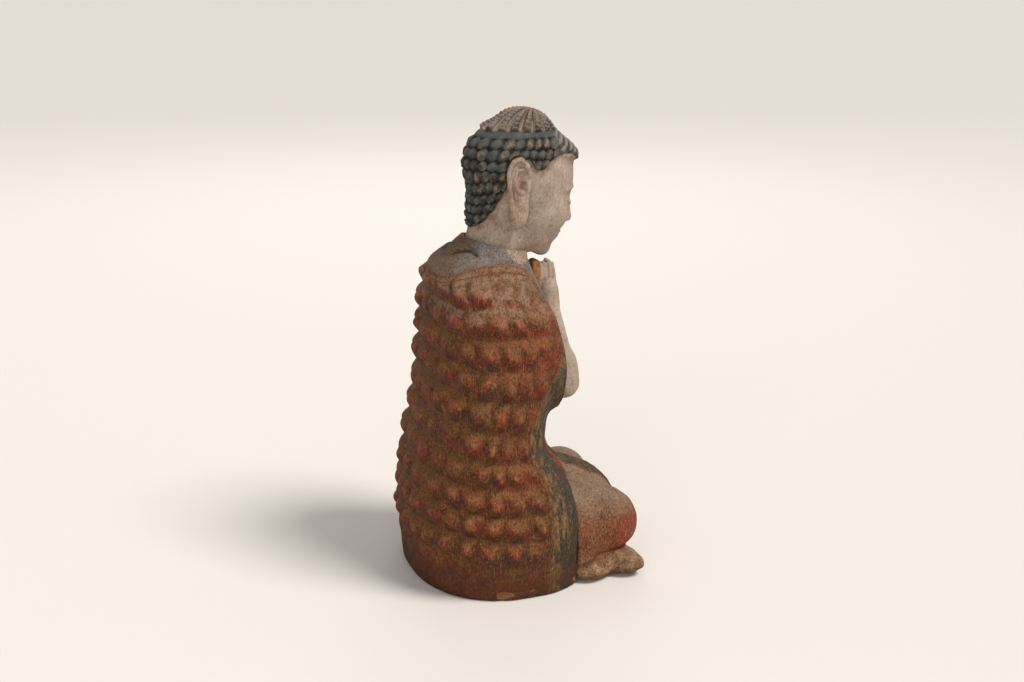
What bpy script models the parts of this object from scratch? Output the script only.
"""Carved and painted wooden figure, kneeling with its palms together and its head bowed.

It is built as the blocks a carver joins: a trunk, a lap block glued to the front of the trunk,
a head set in the collar, two forearms glued to pads inside the sleeves, a plug that closes the
hollow in the foot, and the dowels and pins between them.

Run it with blender --background --python part.py, or from Blender's text editor.
The figure faces -Y and its right hand is on -X. The origin is on the floor, under the trunk.
"""

import math

import bmesh
import bpy
from mathutils import Matrix, Vector

MM = 0.001
SIDES = (("right", -1), ("left", 1))

# Every dimension below is in millimetres, and every angle in degrees.

# Joints between the blocks.
GLUE_GAP = 0.3  # left between any two blocks
SEAM_Y = -46  # the flat glue face between trunk and lap block
SEAM_TOP = 122  # the trunk is cut flat on the seam up to here
LAP_LIFT = 2  # the lap block stands clear of the floor

# Trunk sections from the floor up: height, half width, back, front.
TRUNK_SECTIONS = (
    (0, 99, 90, -78),
    (22, 102, 92, -78),
    (66, 104, 96, -76),
    (106, 102, 91, -48),
    (124, 100, 86, -34),
    (155, 97, 80, -31),
    (182, 97, 76, -42),
    (202, 97, 73, -50),
    (226, 95, 70, -47),
    (248, 90, 69, -41),
    (266, 83, 67, -34),
    (280, 74, 65, -28),
    (291, 64, 59, -22),
    (301, 53, 50, -17),
    (308, 42, 40, -14),
)
SECTION_POINTS = 44
SECTION_POWER = 2.3  # 2 is an ellipse; more is squarer
CHEST_HOLLOW = ((0, -62, 222), (46, 40, 78))  # centre and radii of the hollow behind the hands
SLEEVE_END = ((52, -30, 200), (22, 27, 26))  # cloth that swells round each elbow

# Head, in its own upright frame: the eyes are level with its centre.
HEAD_CENTRE = (0, -21, 364)
HEAD_NOD = 18  # chin down
HEAD_MASSES = (
    ((0, 5, 13), (42, 53, 45)),  # skull under its hair
    ((0, -3, 52), (25, 30, 17)),  # raised crown
    ((0, -12, -12), (35, 38, 46)),  # face
    ((0, -24, -40), (22, 22, 19)),  # jaw
    ((0, -47, -16), (6, 9, 13)),  # nose
    ((0, 18, -30), (30, 22, 22)),  # nape
    ((-38, 15, -8), (8, 12, 31)),  # long right ear
    ((38, 15, -8), (8, 12, 31)),  # long left ear
)
NECK_SEAT = (0, 7, 304)  # the middle of the neck's foot, down in the collar
NECK_LEAN = 14  # forward
NECK_RADIUS = 27
NECK_TOP_RADIUS = 22
NECK_LENGTH = 42
TENON_RADIUS = 15
TENON_LENGTH = 32

# Forearms. X is given for the left side and is negated for the right.
ELBOW = (45, -47, 185)
WRIST = (9.5, -47, 250)
FINGERTIP = (3.2, -48, 291)
ELBOW_RADIUS = 13.5
WRIST_RADIUS = 9
PALM_RADII = (9, 13, 25)
PALM_ALONG = 0.4  # of the way from wrist to fingertip
KNUCKLE_RADIUS = 6.5
FINGERTIP_RADIUS = 4.5
PAD_Y = -43.7  # the flat pads that the elbows are glued to
PAD_TOP = 228
ELBOW_FLAT_TOP = 206  # the forearm is flat behind up to here
PAD_FOOT = 164
PAD_INNER = 20  # the pad's span in X
PAD_OUTER = 90
GROOVE_RADII = (16, 11)  # clearance for the forearm across the chest, from elbow to wrist

# Lap: kneeling thighs under the robe. X is for the left side, as above.
LAP_CLOTH = (
    ((0, -64, 43), (58, 52, 48)),  # robe over both thighs
    ((0, -46, 76), (34, 20, 27)),  # gathered at the waist
    ((0, -66, 10), (92, 46, 22)),  # hem at the floor
)
HIP = (46, -46, 56)
KNEE = (58, -83, 46)
THIGH_RADIUS = 34
SIDE_FOLD = ((56, -60, 40), (34, 40, 36))  # robe spread beside the thigh, flush with the trunk
HEM_LOBE = ((65, -90, 13), (34, 18, 13))  # hem that flares on the floor at each front corner
LOBE_OUT = 40

# The hollow in the foot of the trunk, and the plug that closes it.
CAVITY_Y = 14
CAVITY_RADIUS = 38
CAVITY_TOP_RADIUS = 30
CAVITY_DEPTH = 190
PLUG_RADIUS = 46
PLUG_THICKNESS = 12
PLUG_PIN_LENGTH = 15
PLUG_PIN_HEIGHT = 7
PLUG_PIN_IN_TRUNK = 3

# Dowels and pins.
HOLE_CLEARANCE = 0.3  # round each dowel
HOLE_OVERRUN = 1  # past each end of a dowel
LAP_DOWEL_RADIUS = 5
LAP_DOWEL = ((62, -70, 60), (62, -22, 60))
FOREARM_DOWEL_RADIUS = 3
FOREARM_DOWEL = ((45, -52, 184), (45, -22, 184))
PIN_RADIUS = 2.5
NECK_PEG = ((0, 44, 286), (0, 3, 286))
PALM_PIN_RADIUS = 1.5
PALM_PIN = ((-4.5, -46, 262), (4.5, -46, 262))

# How finely the carved masses are melted together.
HEAD_GRAIN = 6
LAP_GRAIN = 7
FOREARM_GRAIN = 4.5
BALL_STEPS = (24, 14)
ROUND_STEPS = 24
SMOOTH_ANGLE = 40

COLOURS = {
    "robe_red": (0.20, 0.075, 0.05),
    "skin_gesso": (0.36, 0.27, 0.20),
    "bare_wood": (0.34, 0.22, 0.13),
}
WORN_ROUGHNESS = 0.8


def clear_scene():
    for old in list(bpy.data.objects):
        bpy.data.objects.remove(old)


def new_collection(name):
    collection = bpy.data.collections.new(name)
    bpy.context.scene.collection.children.link(collection)
    return collection


def new_material(name, colour):
    made = bpy.data.materials.new(name)
    made.use_nodes = True
    surface = made.node_tree.nodes["Principled BSDF"]
    surface.inputs["Base Color"].default_value = (*colour, 1)
    surface.inputs["Roughness"].default_value = WORN_ROUGHNESS
    surface.inputs["Metallic"].default_value = 0
    return made


def mm(values):
    return Vector(values) * MM


def on_side(point, side):
    """A point given for the left, carried to the side that is asked: 1 is left, -1 is right."""
    return Vector((side * point[0], point[1], point[2]))


def span(side, inner, outer):
    """The low and high X of a stretch given for the left."""
    return sorted((side * inner, side * outer))


def place(bm, name, collection, paint=None):
    """Turns a bmesh into a named object, in the collection that is given."""
    mesh = bpy.data.meshes.new(name)
    bmesh.ops.recalc_face_normals(bm, faces=bm.faces)
    bm.to_mesh(mesh)
    bm.free()
    made = bpy.data.objects.new(name, mesh)
    collection.objects.link(made)
    if paint:
        mesh.materials.append(paints[paint])
    return made


# --- shapes, all added to a bmesh ---


def ball(bm, centre, radii, turn=None):
    """An ellipsoid; turn is a rotation matrix, for one that leans."""
    stretch = Matrix.Diagonal((*mm(radii), 1))
    where = Matrix.Translation(mm(centre)) @ (turn or Matrix.Identity(4)) @ stretch
    across, down = BALL_STEPS
    bmesh.ops.create_uvsphere(bm, u_segments=across, v_segments=down, radius=1, matrix=where)


def rod(bm, start, end, start_radius, end_radius):
    """A round bar or cone between two points."""
    a, b = mm(start), mm(end)
    turn = (b - a).to_track_quat("Z", "Y").to_matrix().to_4x4()
    bmesh.ops.create_cone(
        bm,
        cap_ends=True,
        segments=ROUND_STEPS,
        radius1=start_radius * MM,
        radius2=end_radius * MM,
        depth=(b - a).length,
        matrix=Matrix.Translation((a + b) / 2) @ turn,
    )


def limb(bm, start, end, start_radius, end_radius):
    """A bar with round ends."""
    rod(bm, start, end, start_radius, end_radius)
    ball(bm, start, (start_radius,) * 3)
    ball(bm, end, (end_radius,) * 3)


def block(bm, low, high):
    """A box between two corners."""
    low, high = mm(low), mm(high)
    where = Matrix.Translation((low + high) / 2) @ Matrix.Diagonal((*(high - low), 1))
    bmesh.ops.create_cube(bm, size=1, matrix=where)


def section_ring(half_width, back, front):
    """Points of one level section of the trunk, a rounded outline between back and front."""
    middle = (back + front) / 2
    half_depth = (back - front) / 2
    power = 2 / SECTION_POWER
    ring = []
    for step in range(SECTION_POINTS):
        angle = 2 * math.pi * step / SECTION_POINTS
        c, s = math.cos(angle), math.sin(angle)
        x = half_width * math.copysign(abs(c) ** power, c)
        y = middle + half_depth * math.copysign(abs(s) ** power, s)
        ring.append((x, y))
    return ring


def loft(bm, sections):
    """Skins the trunk's sections, which differ in width, depth and centre, and closes both ends."""
    rings = []
    for height, half_width, back, front in sections:
        points = section_ring(half_width, back, front)
        rings.append([bm.verts.new(mm((x, y, height))) for x, y in points])
    for lower, upper in zip(rings, rings[1:]):
        for i in range(SECTION_POINTS):
            j = (i + 1) % SECTION_POINTS
            bm.faces.new((lower[i], lower[j], upper[j], upper[i]))
    bm.faces.new(rings[0][::-1])
    bm.faces.new(rings[-1])


# --- joining and cutting ---


def fuse(made, grain, rounds):
    """Melts overlapping masses into one skin, as a carver's gouge leaves them."""
    melt = made.modifiers.new("melt", "REMESH")
    melt.mode = "VOXEL"
    melt.voxel_size = grain * MM
    melt.use_smooth_shade = True
    soften = made.modifiers.new("soften", "SMOOTH")
    soften.factor = 0.5
    soften.iterations = rounds


def combine(target, other, operation):
    boolean = target.modifiers.new(other.name, "BOOLEAN")
    boolean.operation = operation
    boolean.solver = "EXACT"
    boolean.object = other


def helper(name, shape, *sizes):
    """A solid that cuts or adds to a block and isn't part of the figure."""
    bm = bmesh.new()
    shape(bm, *sizes)
    made = place(bm, name, helpers)
    made.hide_render = True
    made.display_type = "WIRE"
    return made


def cut(target, name, shape, *sizes):
    combine(target, helper(name, shape, *sizes), "DIFFERENCE")


def add(target, name, shape, *sizes):
    combine(target, helper(name, shape, *sizes), "UNION")


def drill(target, name, start, end, radius):
    """A hole for a dowel that runs from start to end, with its clearance."""
    overrun = (Vector(end) - Vector(start)).normalized() * HOLE_OVERRUN
    wide = radius + HOLE_CLEARANCE
    cut(target, name, rod, Vector(start) - overrun, Vector(end) + overrun, wide, wide)


def dowel(name, start, end, radius):
    bm = bmesh.new()
    rod(bm, start, end, radius, radius)
    made = place(bm, name, figure, "bare_wood")
    made.data.shade_smooth()
    made.data.set_sharp_from_angle(angle=math.radians(SMOOTH_ANGLE))


def pegged(blocks, name, start, end, radius):
    """A dowel across the seam of two blocks, with its hole in each."""
    for target in blocks:
        drill(target, f"{name}_{target.name}_hole", start, end, radius)
    dowel(name, start, end, radius)


# --- the head block ---


def neck_axis():
    lean = math.radians(NECK_LEAN)
    return Vector((0, -math.sin(lean), math.cos(lean)))


def make_head():
    nod = Matrix.Rotation(math.radians(HEAD_NOD), 4, "X")
    frame = Matrix.Translation(HEAD_CENTRE) @ nod
    seat = Vector(NECK_SEAT)
    axis = neck_axis()
    bm = bmesh.new()
    for centre, radii in HEAD_MASSES:
        ball(bm, frame @ Vector(centre), radii, nod)
    rod(bm, seat, seat + axis * NECK_LENGTH, NECK_RADIUS, NECK_TOP_RADIUS)
    head = place(bm, "head", figure, "skin_gesso")
    fuse(head, HEAD_GRAIN, 3)

    trim = 2 * NECK_RADIUS
    cut(head, "neck_trim", rod, seat - axis * trim / 2, seat, trim, trim)
    tip = seat - axis * TENON_LENGTH
    inside = seat + axis * NECK_LENGTH / 4
    add(head, "neck_tenon", rod, tip, inside, TENON_RADIUS, TENON_RADIUS)
    return head


# --- the trunk block ---


def cut_neck_socket(trunk):
    axis = neck_axis()
    seat = Vector(NECK_SEAT) - axis * GLUE_GAP
    wide = NECK_RADIUS + 1
    cut(trunk, "collar_cut", rod, seat, seat + axis * NECK_LENGTH, wide, wide)
    tip = seat - axis * (TENON_LENGTH + HOLE_OVERRUN)
    wide = TENON_RADIUS + GLUE_GAP
    cut(trunk, "tenon_cut", rod, tip, seat + axis * HOLE_OVERRUN, wide, wide)


def make_trunk():
    bm = bmesh.new()
    loft(bm, TRUNK_SECTIONS)
    trunk = place(bm, "trunk", figure, "robe_red")
    for word, side in SIDES:
        centre, radii = SLEEVE_END
        add(trunk, f"sleeve_end_{word}", ball, on_side(centre, side), radii)
    cut(trunk, "chest_hollow", ball, *CHEST_HOLLOW)
    cut(trunk, "seam_cut", block, (-130, -130, -10), (130, SEAM_Y, SEAM_TOP))
    for word, side in SIDES:
        low, high = span(side, PAD_INNER, PAD_OUTER)
        cut(trunk, f"pad_cut_{word}", block, (low, -90, PAD_FOOT), (high, PAD_Y, PAD_TOP))
        elbow, wrist = on_side(ELBOW, side), on_side(WRIST, side)
        groove = elbow.lerp(wrist, 0.2), wrist.lerp(elbow, -0.3)
        cut(trunk, f"forearm_groove_{word}", rod, *groove, *GROOVE_RADII)
    cut_neck_socket(trunk)
    foot, top = (0, CAVITY_Y, -10), (0, CAVITY_Y, CAVITY_DEPTH)
    cut(trunk, "cavity_cut", rod, foot, top, CAVITY_RADIUS, CAVITY_TOP_RADIUS)
    return trunk


# --- the lap block: two thighs under the robe, and its hem ---


def make_lap():
    bm = bmesh.new()
    for centre, radii in LAP_CLOTH:
        ball(bm, centre, radii)
    for word, side in SIDES:
        limb(bm, on_side(HIP, side), on_side(KNEE, side), THIGH_RADIUS, THIGH_RADIUS)
        ball(bm, on_side(SIDE_FOLD[0], side), SIDE_FOLD[1])
        outward = Matrix.Rotation(math.radians(-side * LOBE_OUT), 4, "Z")
        ball(bm, on_side(HEM_LOBE[0], side), HEM_LOBE[1], outward)
    lap = place(bm, "lap_block", figure, "robe_red")
    fuse(lap, LAP_GRAIN, 3)
    cut(lap, "lap_back_cut", block, (-160, SEAM_Y - GLUE_GAP, -60), (160, 60, 200))
    cut(lap, "lap_foot_cut", block, (-160, -200, -60), (160, 70, LAP_LIFT))
    return lap


# --- the forearms, each with its hand ---


def make_forearm(word, side):
    elbow, wrist, tip = (on_side(point, side) for point in (ELBOW, WRIST, FINGERTIP))
    palm = wrist.lerp(tip, PALM_ALONG)
    bm = bmesh.new()
    limb(bm, elbow, wrist, ELBOW_RADIUS, WRIST_RADIUS)
    ball(bm, palm, PALM_RADII)
    limb(bm, palm, tip, KNUCKLE_RADIUS, FINGERTIP_RADIUS)
    name = f"forearm_{word}"
    forearm = place(bm, name, figure, "skin_gesso")
    fuse(forearm, FOREARM_GRAIN, 2)
    cut(forearm, name + "_pad", block, (-90, PAD_Y - GLUE_GAP, 150), (90, 20, ELBOW_FLAT_TOP))
    low, high = span(side, GLUE_GAP / 2, -60)
    cut(forearm, name + "_palm", block, (low, -90, 150), (high, 20, 320))
    return forearm


# --- the plug under the hollow ---


def make_plug(trunk):
    bm = bmesh.new()
    rod(bm, (0, CAVITY_Y, 0), (0, CAVITY_Y, PLUG_THICKNESS), PLUG_RADIUS, PLUG_RADIUS)
    plug = place(bm, "base_plug", figure, "bare_wood")
    wide = PLUG_RADIUS + GLUE_GAP
    rebate = (0, CAVITY_Y, -HOLE_OVERRUN), (0, CAVITY_Y, PLUG_THICKNESS + GLUE_GAP)
    cut(trunk, "plug_rebate", rod, *rebate, wide, wide)
    for word, outward in (("front", -1), ("back", 1)):
        outer = CAVITY_Y + outward * (PLUG_RADIUS + PLUG_PIN_IN_TRUNK)
        inner = outer - outward * PLUG_PIN_LENGTH
        start, end = (0, outer, PLUG_PIN_HEIGHT), (0, inner, PLUG_PIN_HEIGHT)
        pegged((trunk, plug), f"plug_pin_{word}", start, end, PIN_RADIUS)


clear_scene()
figure = new_collection("praying_figure")
helpers = new_collection("cutters")
paints = {name: new_material(name, colour) for name, colour in COLOURS.items()}

trunk = make_trunk()
head = make_head()
lap = make_lap()
forearms = [make_forearm(word, side) for word, side in SIDES]
make_plug(trunk)

for (word, side), forearm in zip(SIDES, forearms):
    start, end = (on_side(point, side) for point in LAP_DOWEL)
    pegged((trunk, lap), f"lap_dowel_{word}", start, end, LAP_DOWEL_RADIUS)
    start, end = (on_side(point, side) for point in FOREARM_DOWEL)
    pegged((trunk, forearm), f"forearm_dowel_{word}", start, end, FOREARM_DOWEL_RADIUS)
pegged(forearms, "palm_pin", *PALM_PIN, PALM_PIN_RADIUS)
pegged((trunk, head), "neck_peg", *NECK_PEG, PIN_RADIUS)
